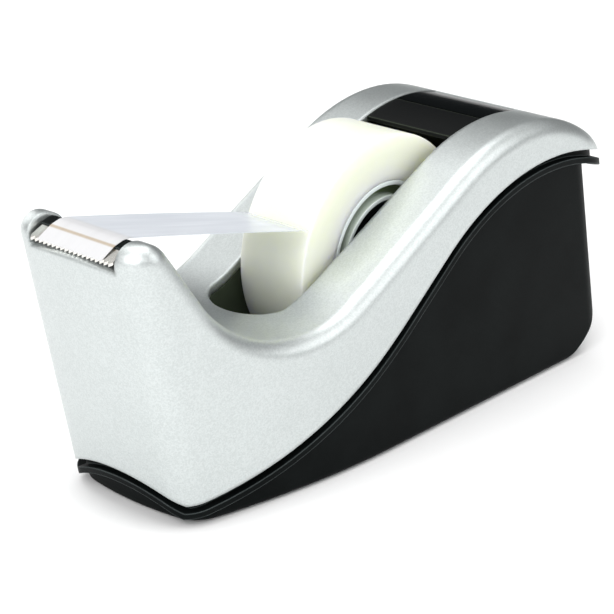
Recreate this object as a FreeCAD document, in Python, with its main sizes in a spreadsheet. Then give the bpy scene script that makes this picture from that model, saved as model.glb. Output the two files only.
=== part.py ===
"""Desk tape dispenser: a weighted two-tone body, a cutter head and a roll on a lift-out hub.

Frame: millimetres, +Z up, +X from the cutter to the rear, Y across the body. The origin is on
the table under the middle of the overall length. Every driving size is a cell of the Dims sheet.
"""
import FreeCAD
import Part
import math
import os
import re
import Sketcher

SIZES = {
    # overall body
    "length": 159.0, "width": 53.0, "crest_height": 66.6, "lean": 11.8, "wall": 2.0,
    "shoulder_radius": 4.0, "fit_gap": 0.2,
    # plan outline of the cover
    "toe_setback": 12.1, "toe_radius": 80.0, "corner_radius": 8.0, "side_radius": 220.0,
    "belly_offset": -6.1, "heel_radius": 15.0, "heel_spread": 10.5,
    # side profile of the cover
    "ear_setback": 5.1, "ear_height": 60.0, "ear_radius": 6.0, "neck_angle": 57.0,
    "valley_radius": 31.0, "rail_angle": 28.5, "rail_radius": 52.0, "crest_offset": 34.0,
    "tip_drop": 20.3,
    # lower edge of the cover, the groove under it and the lip of the base
    "edge_offset": 2.95, "edge_height": 37.25, "edge_angle": 38.5, "edge_run": 18.8,
    "edge_toe_radius": 124.0, "edge_heel_radius": 64.0, "arch_radius": 34.0,
    "arch_height": 10.2, "arch_reach": 17.0, "groove": 1.9, "lip": 1.5, "spigot_rise": 3.0,
    "spigot_wall": 1.4,
    # base shell
    "base_side_inset": 1.0, "base_toe_inset": 2.3, "base_heel_inset": 0.8,
    "base_heel_radius": 7.5, "base_wall": 2.6, "base_lift": 0.4, "bottom_round": 1.5,
    "heel_round": 17.0, "deck_height": 4.4, "deck_thickness": 2.0,
    # opening of the cover and the well that hangs in it
    "opening_front_half": 11.0, "opening_rear_half": 13.8, "opening_front": 36.0,
    "opening_nose": 7.0, "opening_rear": 47.5, "well_wall": 1.5, "well_floor_height": 8.0,
    "roll_gap": 2.25,
    "ramp_angle": 50.0, "chute_angle": 30.0, "rib_gap": 0.4, "rib_wall": 2.2, "slot_lean": 35.0,
    "panel_thickness": 1.6, "panel_recess": 0.25, "panel_offset": 31.0,
    # roll, core and hub
    "roll_offset": 7.6, "roll_radius": 28.25, "tape_width": 19.0, "core_radius": 17.3,
    "core_bore": 12.8, "core_skin": 1.1, "core_web": 1.2, "core_web_depth": 3.0,
    "hub_gap": 0.05, "hub_wall": 1.4, "hub_web": 1.5, "hub_web_depth": 1.8, "hub_end": 0.2,
    "stub_radius": 3.0, "stub_reach": 1.8, "stub_gap": 0.3, "pin_radius": 2.6, "pin_length": 5.0,
    "socket_wall": 1.6,
    # cutter head, measured back from the teeth
    "head_half": 12.9, "head_floor": 57.0, "head_floor_thickness": 2.5, "head_floor_reach": 8.0,
    "seat_front": 1.9, "seat_rear": 8.1, "rim_height": 63.0, "rim_reach": 18.0,
    "crown_radius": 60.0, "crown_height": 61.2, "crown_tilt": 30.0,
    "blade_half": 12.2, "blade_thickness": 0.6, "blade_height": 64.0, "blade_bend": 3.8,
    "blade_droop": 1.7, "tooth_pitch": 1.25, "tooth_depth": 0.75,
    "rivet_radius": 1.0, "rivet_head_radius": 1.8, "rivet_head": 0.5,
    "rivet_length": 4.0, "rivet_half": 8.0, "rivet_inset": 2.0, "landing_height": 65.0,
    "landing_width": 2.3, "landing_slope": 0.65, "landing_flat": 0.8, "landing_half": 12.75,
    "tape_thickness": 0.25, "tape_gap": 0.05, "tail_bend": 3.0, "peel_height": 52.2,
    "peel_gap": 0.3,
    # ballast, plate, pads and fasteners
    "front_ballast_offset": -34.0, "front_ballast_length": 30.0, "front_ballast_width": 30.0,
    "front_ballast_height": 8.0, "rear_ballast_offset": 52.0, "rear_ballast_length": 20.0,
    "rear_ballast_width": 28.0, "rear_ballast_height": 30.0, "plate_thickness": 1.4,
    "plate_gap": 0.3, "pad_thickness": 1.0, "pad_length": 24.0, "pad_width": 34.0,
    "front_pad_offset": -34.0, "rear_pad_offset": 42.0, "screw_radius": 1.25,
    "screw_clearance": 0.2, "screw_head_radius": 2.2, "screw_head": 1.4, "screw_grip": 4.0,
    "cover_screw_length": 12.0, "deck_screw_length": 4.2, "plate_screw_length": 4.4,
    "sink_depth": 0.9, "boss_radius": 2.8, "post_radius": 3.0, "pillar_radius": 3.6,
    "front_post_offset": -54.0, "front_post_half": 11.0, "front_post_height": 20.0,
    "rear_post_offset": 34.0, "rear_post_half": 18.7, "rear_post_height": 34.0,
    "well_screw_half": 7.0, "ballast_screw_half": 9.0, "plate_screw_offset": 48.0,
    "plate_screw_half": 15.0,
}

doc = FreeCAD.newDocument("TapeDispenser")
sheet = doc.addObject("Spreadsheet::Sheet", "Dims")
for row, (alias, size) in enumerate(SIZES.items(), start=1):
    sheet.set(f"A{row}", alias)
    sheet.set(f"B{row}", str(size))
    sheet.setAlias(f"B{row}", alias)
doc.recompute()

# ---------------------------------------------------------------- places shared by several parts
TEETH_X = "(-length / 2)"
REAR_X = "(length / 2)"
TOE_X = f"({TEETH_X} + toe_setback)"
EAR_X = f"({TEETH_X} + ear_setback)"
CREST_X = "(roll_offset + crest_offset)"
HEEL_RADIUS = f"((({REAR_X} - {CREST_X})^2 + tip_drop^2) / (2 * tip_drop))"
AXIS_Z = "(well_floor_height + well_wall + roll_gap + roll_radius)"
WELL_RADIUS = "(roll_radius + roll_gap)"
OPENING_FRONT = "(roll_offset - opening_front)"
OPENING_REAR = "(roll_offset + opening_rear)"
PANEL_FRONT = "(roll_offset + panel_offset)"
BASE_TOE_X = f"({TOE_X} + base_toe_inset)"
BASE_HEEL_X = f"({REAR_X} - base_heel_inset)"
BASE_WIDTH = "(width - 2 * base_side_inset)"
DECK_TOP = "(deck_height + deck_thickness)"
PLATE_TOP = "(pad_thickness + plate_thickness)"
RIVET_X = f"({TEETH_X} + seat_rear - rivet_inset)"
SPIGOT_INSET = "(wall + fit_gap)"
HEEL_X = f"({BASE_HEEL_X} - heel_round * (1 + sin(lean)) / cos(lean))"
HEEL_Z = "(base_lift + heel_round)"
PLATE_REAR = f"({HEEL_X} - base_wall)"
FAR = 120.0
EDGE_END_ANGLE = 40.0


def bound(text):
    """Return an expression with every size name pointing at the sheet."""
    return re.sub(r"\b[a-z][a-z_]*\b(?!\()", lambda word: f"Dims.{word.group()}", text)


def value(text):
    """Return the number that an expression has now."""
    return float(sheet.evalExpression(bound(str(text))))


def vector(x, y, z=0.0):
    """Return a vector from three expressions or numbers."""
    return FreeCAD.Vector(value(x), value(y), value(z))


# ---------------------------------------------------------------- sketching
class Outline:
    """A closed outline of lines and arcs in one sketch, each size bound to the sheet."""

    def __init__(self, body, name, plane):
        self.sketch = body.newObject("Sketcher::SketchObject", name)
        support = next(item for item in body.Origin.OriginFeatures if item.Role == plane)
        self.sketch.AttachmentSupport = [(support, "")]
        self.sketch.MapMode = "FlatFace"

    def bind(self, constraint, expression):
        """Add one constraint and let the sheet drive it."""
        index = self.sketch.addConstraint(constraint)
        self.sketch.setExpression(f"Constraints[{index}]", bound(str(expression)))

    def place(self, item, point, x, y):
        """Hold one point of an item at expressions x, y from the origin."""
        self.bind(Sketcher.Constraint("DistanceX", -1, 1, item, point, value(x)), x)
        self.bind(Sketcher.Constraint("DistanceY", -1, 1, item, point, value(y)), y)

    def radius(self, item, expression):
        """Drive an arc's or a circle's radius."""
        self.bind(Sketcher.Constraint("Radius", item, value(expression)), expression)

    def line(self, start, end):
        """Add a line between two vectors."""
        return self.sketch.addGeometry(Part.LineSegment(start, end))

    def arc(self, centre, radius, start, end):
        """Add an arc drawn anticlockwise from angle start to angle end, in degrees."""
        circle = Part.Circle(centre, FreeCAD.Vector(0, 0, 1), radius)
        return self.sketch.addGeometry(Part.ArcOfCircle(circle, math.radians(start), math.radians(end)))

    def direction(self, item, text):
        """Hold a line at an angle from +X, in degrees."""
        angle = Sketcher.Constraint("Angle", item, math.radians(value(text)))
        index = self.sketch.addConstraint(angle)
        self.sketch.setExpression(f"Constraints[{index}]", f"({bound(text)}) * 1 deg")

    def level(self, kind, item, *points):
        """Keep a line, or two points of one item, Horizontal or Vertical."""
        ends = [part for point in points for part in (item, point)] or [item]
        self.sketch.addConstraint(Sketcher.Constraint(kind, *ends))

    def along(self, axis, item, point, text):
        """Hold one coordinate of a point: axis is DistanceX or DistanceY."""
        self.bind(Sketcher.Constraint(axis, -1, 1, item, point, value(text)), text)

    def close(self, left, right, above):
        """Close an open outline with a far frame above or below it: ends are (item, point)."""
        far = FAR if above else -FAR
        start, end = (self.sketch.getPoint(*item) for item in (right, left))
        corners = [start, FreeCAD.Vector(FAR, start.y, 0), FreeCAD.Vector(FAR, far, 0),
                   FreeCAD.Vector(-FAR, far, 0), FreeCAD.Vector(-FAR, end.y, 0), end]
        lines = [self.line(*pair) for pair in zip(corners, corners[1:])]
        for item, kind in zip(lines, ("Horizontal", "Vertical") * 3):
            self.level(kind, item)
        self.join("Coincident", right, (lines[0], 1), left, (lines[-1], 2))
        for item, following in zip(lines, lines[1:]):
            self.join("Coincident", (item, 2), (following, 1))
        self.place(lines[1], 2, FAR, far)
        self.along("DistanceX", lines[3], 1, -FAR)

    def join(self, kind, *ends):
        """Join items end to end: ends are (item, point) pairs taken two at a time."""
        for (item, point), (other, other_point) in zip(ends[::2], ends[1::2]):
            self.sketch.addConstraint(Sketcher.Constraint(kind, item, point, other, other_point))

    def circle(self, x, y, radius):
        """Add a full circle."""
        item = self.sketch.addGeometry(
            Part.Circle(vector(x, y), FreeCAD.Vector(0, 0, 1), value(radius)))
        self.place(item, 3, x, y)
        self.radius(item, radius)

    def polygon(self, corners):
        """Add a closed polygon whose corners are pairs of expressions.

        A third entry in a corner makes the stretch to the next corner an arc of that radius,
        with its centre on the left of the way there, or on the right if the text starts with -.
        """
        points = [vector(corner[0], corner[1]) for corner in corners]
        items = []
        for number, corner in enumerate(corners):
            start, end = points[number], points[(number + 1) % len(points)]
            if len(corner) == 2:
                items.append((self.line(start, end), 1, 2))
            else:
                items.append(self.bulge(start, end, corner[2]))
        for number, (item, first, _) in enumerate(items):
            before, _, last = items[number - 1]
            self.join("Coincident", (before, last), (item, first))
            self.place(item, first, *corners[number][:2])

    def bulge(self, start, end, text):
        """Add an arc from start to end and return it with its first and last point numbers."""
        right = text.startswith("-")
        size = text.lstrip("-")
        radius = value(size)
        chord = end - start
        height = math.sqrt(max(radius ** 2 - (chord.Length / 2) ** 2, 0.0))
        side = FreeCAD.Vector(-chord.y, chord.x, 0).normalize() * (-height if right else height)
        centre = (start + end) * 0.5 + side
        angles = [math.degrees(math.atan2(*reversed((point - centre)[:2]))) for point in (start, end)]
        item = self.arc(centre, radius, *(reversed(angles) if right else angles))
        self.radius(item, size)
        return (item, 2, 1) if right else (item, 1, 2)


# ---------------------------------------------------------------- features
def new_body(name):
    """Return an empty body."""
    return doc.addObject("PartDesign::Body", name)


def pad(body, outline, length, middle=False, leaning=False):
    """Pad an outline, straight or along the lean of the body."""
    feature = body.newObject("PartDesign::Pad", "Pad")
    feature.Profile = outline.sketch
    feature.setExpression("Length", bound(str(length)))
    feature.Midplane = middle
    if leaning:
        feature.UseCustomVector = True
        feature.Direction = FreeCAD.Vector(0, 0, 1)
        feature.setExpression("Direction.x", bound("-sin(lean)"))
        feature.setExpression("Direction.z", bound("cos(lean)"))
    return feature


def pocket(body, outline):
    """Cut an outline through the whole body, both ways."""
    feature = body.newObject("PartDesign::Pocket", "Pocket")
    feature.Profile = outline.sketch
    feature.Type = 1
    feature.Midplane = True
    return feature


def revolve(body, outline, axis_role):
    """Turn an outline a full turn about one of the body's own axes."""
    feature = body.newObject("PartDesign::Revolution", "Revolution")
    feature.Profile = outline.sketch
    axis = next(item for item in body.Origin.OriginFeatures if item.Role == axis_role)
    feature.ReferenceAxis = (axis, [""])
    feature.Angle = 360
    return feature


def round_edges(body, feature, radius, wanted):
    """Fillet the edges of a feature for which wanted(edge) is true."""
    doc.recompute()
    names = [f"Edge{number}" for number, edge in enumerate(feature.Shape.Edges, start=1)
             if wanted(edge)]
    fillet = body.newObject("PartDesign::Fillet", "Fillet")
    fillet.Base = (feature, names)
    fillet.setExpression("Radius", bound(radius))
    return fillet


def extrusion(name, plane, corners, length, middle=True, offset=None):
    """Return a body that is one padded polygon."""
    body = new_body(name)
    outline = Outline(body, name + "Outline", plane)
    outline.polygon(corners)
    pad(body, outline, length, middle)
    if offset:
        move(body, *offset)
    return body


def move(item, x, y, z):
    """Place an object, each coordinate driven by the sheet."""
    for axis, text in zip("xyz", (x, y, z)):
        item.setExpression(f"Placement.Base.{axis}", bound(str(text)))


def fuse(name, *shapes):
    """Return the union of the shapes."""
    item = doc.addObject("Part::MultiFuse", name)
    item.Shapes = list(shapes)
    item.Refine = True
    return item


def common(name, *shapes):
    """Return what the shapes share."""
    item = doc.addObject("Part::MultiCommon", name)
    item.Shapes = list(shapes)
    return item


def cut(name, base, *tools):
    """Return the base with every tool taken away."""
    item = doc.addObject("Part::Cut", name)
    item.Base = base
    item.Tool = tools[0] if len(tools) == 1 else fuse(name + "Tools", *tools)
    item.Refine = True
    return item


def cylinder(name, x, y, z, radius, height, direction="Z"):
    """Return a round bar from x, y, z along +Z, +X or +Y."""
    item = doc.addObject("Part::Cylinder", name)
    item.setExpression("Radius", bound(str(radius)))
    item.setExpression("Height", bound(str(height)))
    turns = {"Z": (0, 0, 0), "X": (0, 90, 0), "Y": (0, 0, -90)}
    item.Placement.Rotation = FreeCAD.Rotation(*turns[direction])
    move(item, x, y, z)
    return item


def block(name, x, y, z, length, width, height):
    """Return a box whose lowest corner is at x, y, z."""
    item = doc.addObject("Part::Box", name)
    for side, text in zip(("Length", "Width", "Height"), (length, width, height)):
        item.setExpression(side, bound(str(text)))
    move(item, x, y, z)
    return item


# ---------------------------------------------------------------- the shared outlines
def crossing(centre, radius, other, other_radius):
    """Return the crossing of two circles that has the larger y."""
    gap = other - centre
    along = (gap.Length ** 2 + radius ** 2 - other_radius ** 2) / (2 * gap.Length)
    aside = math.sqrt(radius ** 2 - along ** 2)
    step = FreeCAD.Vector(gap).normalize()
    ends = [centre + step * along + FreeCAD.Vector(-step.y, step.x, 0) * side
            for side in (aside, -aside)]
    return max(ends, key=lambda point: point.y)


def angle_from(centre, point):
    """Return the direction of a point from a centre, in degrees."""
    return math.degrees(math.atan2(point.y - centre.y, point.x - centre.x))


def plan_outline(body, toe, width, rear, heel_radius, inset):
    """Draw the boat-shaped plan at table height: rounded toe, long bowed sides, round heel."""
    outline = Outline(body, "PlanOutline", "XY_Plane")
    toe_radius, corner, side, heel = (
        f"({name} - {inset})" for name in ("toe_radius", "corner_radius", "side_radius", heel_radius))
    toe_centre = (f"{toe} + toe_radius", "0")
    side_y = f"{width} / 2 - side_radius"
    fore, belly = vector(*toe_centre), vector("belly_offset", side_y)
    bend = crossing(fore, value("toe_radius - corner_radius"), belly, value("side_radius - corner_radius"))
    half = value(f"{width} / 2 - {inset}")
    end_x, end_radius = value(f"{rear} - {inset}"), value(heel)
    toe_angle, side_angle = angle_from(fore, bend), angle_from(belly, bend)
    items = {}
    items["toe"] = outline.arc(fore, value(toe_radius), toe_angle, 360 - toe_angle)
    for sign in (1, -1):
        here = FreeCAD.Vector(bend.x, sign * bend.y, 0)
        middle = FreeCAD.Vector(belly.x, sign * belly.y, 0)
        turn = (side_angle, toe_angle) if sign > 0 else (-toe_angle, -side_angle)
        items["corner", sign] = outline.arc(here, value(corner), *turn)
        sweep = (90, side_angle) if sign > 0 else (-side_angle, -90)
        items["side", sign] = outline.arc(middle, value(side), *sweep)
        start = FreeCAD.Vector(belly.x, sign * half, 0)
        heel_centre = FreeCAD.Vector(end_x - end_radius, sign * (half - end_radius), 0)
        items["flank", sign] = outline.line(start, heel_centre + FreeCAD.Vector(0, sign * end_radius, 0))
        quarter = (0, 90) if sign > 0 else (270, 360)
        items["heel", sign] = outline.arc(heel_centre, end_radius, *quarter)
    items["rear"] = outline.line(FreeCAD.Vector(end_x, half - end_radius, 0),
                                 FreeCAD.Vector(end_x, end_radius - half, 0))
    for sign, first, last in ((1, 1, 2), (-1, 2, 1)):
        outline.join("Tangent",
                     (items["toe"], first), (items["corner", sign], last),
                     (items["corner", sign], first), (items["side", sign], last),
                     (items["side", sign], first), (items["flank", sign], 1),
                     (items["flank", sign], 2), (items["heel", sign], last),
                     (items["heel", sign], first), (items["rear"], first))
        outline.radius(items["corner", sign], corner)
        outline.radius(items["side", sign], side)
        outline.radius(items["heel", sign], heel)
        outline.place(items["side", sign], 3, "belly_offset", side_y if sign > 0 else f"-({side_y})")
        outline.sketch.addConstraint(Sketcher.Constraint("Horizontal", items["flank", sign]))
    outline.place(items["toe"], 3, *toe_centre)
    outline.radius(items["toe"], toe_radius)
    outline.sketch.addConstraint(Sketcher.Constraint("Vertical", items["rear"]))
    outline.bind(Sketcher.Constraint("DistanceX", -1, 1, items["rear"], 1, end_x), f"{rear} - {inset}")
    return outline


def profile_outline(body, inset, above):
    """Draw the long side profile (ear, neck, valley, rail, crest, tail), framed above or below."""
    outline = Outline(body, "ProfileOutline", "XZ_Plane")
    neck, rail = value("neck_angle"), value("rail_angle")
    ear_radius, valley, rise, fall = (
        f"({name} {sign} {inset})" for name, sign in
        (("ear_radius", "-"), ("valley_radius", "+"), ("rail_radius", "-"), (HEEL_RADIUS, "-")))
    ear = vector(EAR_X, "ear_height")
    crest = vector(CREST_X, "crest_height - rail_radius")
    tail = vector(CREST_X, f"crest_height - {HEEL_RADIUS}")
    neck_side = FreeCAD.Vector(math.sin(math.radians(neck)), math.cos(math.radians(neck)), 0)
    rail_side = FreeCAD.Vector(-math.sin(math.radians(rail)), math.cos(math.radians(rail)), 0)
    neck_reach = ear.dot(neck_side) + value("ear_radius + valley_radius")
    rail_reach = crest.dot(rail_side) + value("rail_radius + valley_radius")
    spread = neck_side.x * rail_side.y - neck_side.y * rail_side.x
    bowl = FreeCAD.Vector((neck_reach * rail_side.y - rail_reach * neck_side.y) / spread,
                          (neck_side.x * rail_reach - rail_side.x * neck_reach) / spread, 0)
    ear_arc = outline.arc(ear, value(ear_radius), 90 - neck, 180)
    neck_line = outline.line(ear + neck_side * value(ear_radius), bowl - neck_side * value(valley))
    bowl_arc = outline.arc(bowl, value(valley), 270 - neck, 270 + rail)
    rail_line = outline.line(bowl - rail_side * value(valley), crest + rail_side * value(rise))
    rise_arc = outline.arc(crest, value(rise), 90, 90 + rail)
    fall_arc = outline.arc(tail, value(fall), 0, 90)
    outline.join("Tangent", (neck_line, 1), (ear_arc, 1), (neck_line, 2), (bowl_arc, 1),
                 (bowl_arc, 2), (rail_line, 1), (rail_line, 2), (rise_arc, 2),
                 (rise_arc, 1), (fall_arc, 2))
    outline.place(ear_arc, 3, EAR_X, "ear_height")
    outline.place(rise_arc, 3, CREST_X, "crest_height - rail_radius")
    outline.along("DistanceX", fall_arc, 3, CREST_X)
    for item, size in ((ear_arc, ear_radius), (bowl_arc, valley), (rise_arc, rise), (fall_arc, fall)):
        outline.radius(item, size)
    outline.direction(neck_line, "-neck_angle")
    outline.direction(rail_line, "rail_angle")
    outline.level("Horizontal", ear_arc, 2, 3)
    outline.level("Horizontal", fall_arc, 1, 3)
    outline.close((ear_arc, 2), (fall_arc, 1), above)
    return outline


def edge_outline(body, drop, above):
    """Draw the S-shaped lower edge of the cover, moved down by drop, framed above or below."""
    outline = Outline(body, "EdgeOutline", "XZ_Plane")
    slope = value("edge_angle")
    toe_radius, heel_radius = f"(edge_toe_radius + {drop})", f"(edge_heel_radius - {drop})"
    toe_centre = ("edge_offset - edge_run / 2 * cos(edge_angle) - edge_toe_radius * sin(edge_angle)",
                  "edge_height - edge_run / 2 * sin(edge_angle) + edge_toe_radius * cos(edge_angle)")
    heel_centre = ("edge_offset + edge_run / 2 * cos(edge_angle) + edge_heel_radius * sin(edge_angle)",
                   "edge_height + edge_run / 2 * sin(edge_angle) - edge_heel_radius * cos(edge_angle)")
    toe, heel = vector(*toe_centre), vector(*heel_centre)
    side = FreeCAD.Vector(math.sin(math.radians(slope)), -math.cos(math.radians(slope)), 0)
    toe_arc = outline.arc(toe, value(toe_radius), 270, 270 + slope)
    run = outline.line(toe + side * value(toe_radius), heel - side * value(heel_radius))
    heel_arc = outline.arc(heel, value(heel_radius), EDGE_END_ANGLE, 90 + slope)
    outline.join("Tangent", (toe_arc, 2), (run, 1), (run, 2), (heel_arc, 2))
    outline.place(toe_arc, 3, *toe_centre)
    outline.place(heel_arc, 3, *heel_centre)
    outline.radius(toe_arc, toe_radius)
    outline.radius(heel_arc, heel_radius)
    outline.level("Vertical", toe_arc, 1, 3)
    outline.along("DistanceX", heel_arc, 1, f"{heel_centre[0]} + {heel_radius} * cos({EDGE_END_ANGLE})")
    outline.close((toe_arc, 1), (heel_arc, 1), above)
    return outline


# ---------------------------------------------------------------- helper volumes
def boat(name, toe, width, rear, heel_radius, inset):
    """Return the plan padded upwards along the lean."""
    body = new_body(name)
    outline = plan_outline(body, toe, width, rear, heel_radius, inset)
    pad(body, outline, FAR, leaning=True)
    return body


def cover_boat(name, inset):
    """Return the plan of the cover padded upwards, moved inwards by inset."""
    return boat(name, TOE_X, "width", f"({REAR_X} + heel_spread)", "heel_radius", inset)


def base_boat(name, inset):
    """Return the plan of the base padded upwards, moved inwards by inset."""
    return boat(name, BASE_TOE_X, BASE_WIDTH, BASE_HEEL_X, "base_heel_radius", inset)


def envelope(name, inset, rounded=False):
    """Return the outer form of cover and lip as one solid, moved inwards by inset."""
    body = cover_boat(name, inset)
    trimmed = pocket(body, profile_outline(body, inset, above=True))
    if rounded:
        round_edges(body, trimmed, "shoulder_radius", is_shoulder)
    return body


def is_shoulder(edge):
    """Tell whether an edge runs along the top outline of the body."""
    return edge.BoundBox.ZMin > value(DECK_TOP) and edge.BoundBox.XLength > 0.3


def below_profile(name, inset):
    """Return everything under the side profile, moved inwards by inset."""
    body = new_body(name)
    pad(body, profile_outline(body, inset, above=False), FAR, middle=True)
    return body


def under_cover(name, drop):
    """Return everything under the lower edge of the cover, front arch included."""
    body = new_body(name + "Edge")
    pad(body, edge_outline(body, drop, above=False), FAR, middle=True)
    arch = cylinder(name + "Arch", -FAR, 0, "arch_height - arch_radius", f"arch_radius - {drop}",
                    f"{FAR} + {TOE_X} + arch_reach", "X")
    return fuse(name, body, arch)


def opening(name, margin, front=None, rear=OPENING_REAR):
    """Return a tall bar with the plan of the roll opening, widened by margin.

    A front expression squares the bar off there; otherwise it ends in the bowed front.
    """
    slope = "(opening_rear_half - opening_front_half) / (opening_rear + opening_front)"
    start = front or OPENING_FRONT
    start_half, rear_half = (
        f"(opening_front_half + ({place} - {OPENING_FRONT}) * {slope} + {margin})"
        for place in (start, rear))
    corners = [(f"{rear} + {margin}", f"-{rear_half}"), (f"{rear} + {margin}", rear_half)]
    if front:
        corners += [(start, start_half)]
    else:
        nose = f"(opening_nose + {margin})"
        bow = f"(({start_half}^2 + {nose}^2) / (2 * {nose}))"
        corners += [(start, start_half, bow), (f"{start} - {nose}", 0, bow)]
    corners += [(start, f"-{start_half}")]
    return extrusion(name, "XY_Plane", corners, FAR, middle=False)


def slab(name, low, high, start=-FAR, end=FAR):
    """Return a wide block between two heights and two places along X."""
    return block(name, start, -FAR, low, f"{end} - ({start})", 2 * FAR, f"{high} - ({low})")


def bars(name, places, radius, low, high):
    """Return upright round bars at places, each an x and a half distance across."""
    return [cylinder(f"{name}{number}{side}", x, f"{sign}({half})", low, radius, f"{high} - ({low})")
            for number, (x, half) in enumerate(places)
            for side, sign in (("Near", "-"), ("Far", ""))]


# ---------------------------------------------------------------- fasteners
COVER_POSTS = [("front_post_offset", "front_post_half", "front_post_height"),
               ("rear_post_offset", "rear_post_half", "rear_post_height")]
DECK_SCREWS = [("roll_offset", "well_screw_half"), ("front_ballast_offset", "ballast_screw_half"),
               ("rear_ballast_offset", "ballast_screw_half")]
PLATE_SCREWS = [("-plate_screw_offset", "plate_screw_half"),
                ("plate_screw_offset", "plate_screw_half")]


def pan_screws(name, places, length):
    """Return pan-head screws pointing up; each place is x, half distance across, head seat."""
    solids = []
    for number, (x, half, seat) in enumerate(places):
        heads = bars(f"{name}Head{number}", [(x, half)], "screw_head_radius",
                     f"{seat} - screw_head", seat)
        shafts = bars(f"{name}Shaft{number}", [(x, half)], "screw_radius", seat,
                      f"{seat} + {length}")
        solids += heads + shafts
    return fuse(name, *solids)


def cover_screws():
    """Screws up through the base pillars into the posts of the cover."""
    places = [(x, half, f"{height} - screw_grip") for x, half, height in COVER_POSTS]
    return pan_screws("cover_screws", places, "cover_screw_length")


def deck_screws():
    """Screws up through the deck into the well and both ballast blocks."""
    places = [(x, half, "deck_height") for x, half in DECK_SCREWS]
    return pan_screws("deck_screws", places, "deck_screw_length")


def sink(name, x, y):
    """Return the cone of one countersunk head, its wide end at the underside of the plate."""
    cone = doc.addObject("Part::Cone", name)
    for side, text in (("Radius1", "screw_head_radius"), ("Radius2", "screw_radius"),
                       ("Height", "sink_depth")):
        cone.setExpression(side, bound(text))
    move(cone, x, y, "pad_thickness")
    return cone


def plate_screws():
    """Countersunk screws up through the bottom plate into the deck bosses."""
    solids = bars("PlateScrew", PLATE_SCREWS, "screw_radius", "pad_thickness",
                  "pad_thickness + plate_screw_length")
    solids += [sink(f"PlateHead{number}{side}", x, f"{sign}({half})")
               for number, (x, half) in enumerate(PLATE_SCREWS)
               for side, sign in (("Near", "-"), ("Far", ""))]
    return fuse("plate_screws", *solids)


# ---------------------------------------------------------------- body
def mouth_crown():
    """Return the bar whose top is the bowed upper edge of the toe, rising towards the blade."""
    x = f"{TEETH_X} + crown_radius * sin(crown_tilt) - {FAR} * cos(crown_tilt)"
    z = f"crown_height - crown_radius * cos(crown_tilt) - {FAR} * sin(crown_tilt)"
    bar = cylinder("MouthCrown", x, 0, z, "crown_radius", f"{FAR} * 2")
    bar.Placement.Rotation = FreeCAD.Rotation(FreeCAD.Vector(0, 1, 0), value("90 - crown_tilt"))
    bar.setExpression("Placement.Rotation.Angle", bound("90 - crown_tilt"))
    return bar


def top_cover():
    """The metallic shell: toe, ears, rails and tail, with screw posts hanging inside."""
    posts = [bar for number, (x, half, height) in enumerate(COVER_POSTS)
             for bar in bars(f"Post{number}", [(x, half)], "post_radius", height, FAR)]
    pilots = [bar for number, (x, half, height) in enumerate(COVER_POSTS)
              for bar in bars(f"Pilot{number}", [(x, half)], "screw_radius", f"{height} - screw_clearance",
                              f"{height} - screw_grip + cover_screw_length")]
    floor = slab("HeadFloor", "head_floor - head_floor_thickness", "head_floor",
                 end=f"{TEETH_X} + seat_rear + head_floor_reach")
    cavity = cut("CoverHollow", envelope("CoverInside", "wall"), *posts, floor)
    seat = block("HeadSeat", f"{TEETH_X} + seat_front", "-head_half", "head_floor",
                 "seat_rear - seat_front", "2 * head_half", FAR)
    rim = block("HeadRim", f"{TEETH_X} + seat_front", "-head_half", "rim_height",
                "rim_reach", "2 * head_half", FAR)
    mouth = cut("HeadMouth",
                block("MouthBlock", -FAR, "-head_half", "head_floor",
                      f"{FAR} + {TEETH_X} + seat_front + wall / 2", "2 * head_half", FAR),
                mouth_crown())
    roof_opening = opening("CoverOpening", "0")
    move(roof_opening, 0, 0, "well_floor_height")
    return cut("top_cover", envelope("CoverOutside", "0", rounded=True), cavity,
               under_cover("CoverTrim", "0"), roof_opening, seat, rim, mouth, *pilots)


def heel_form(name, inset):
    """Return all that lies before the leaning rear face and above its round foot, moved inwards."""
    radius = f"(heel_round - {inset})"
    foot = (HEEL_X, f"{HEEL_Z} - {radius}")
    back = (f"{HEEL_X} + {radius} * cos(lean)", f"{HEEL_Z} + {radius} * sin(lean)")
    top = (f"{back[0]} - {FAR} * sin(lean)", f"{back[1]} + {FAR} * cos(lean)")
    return extrusion(name, "XZ_Plane", [(*foot, radius), back, top, (-FAR, top[1]), (-FAR, foot[1])],
                     FAR)


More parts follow.
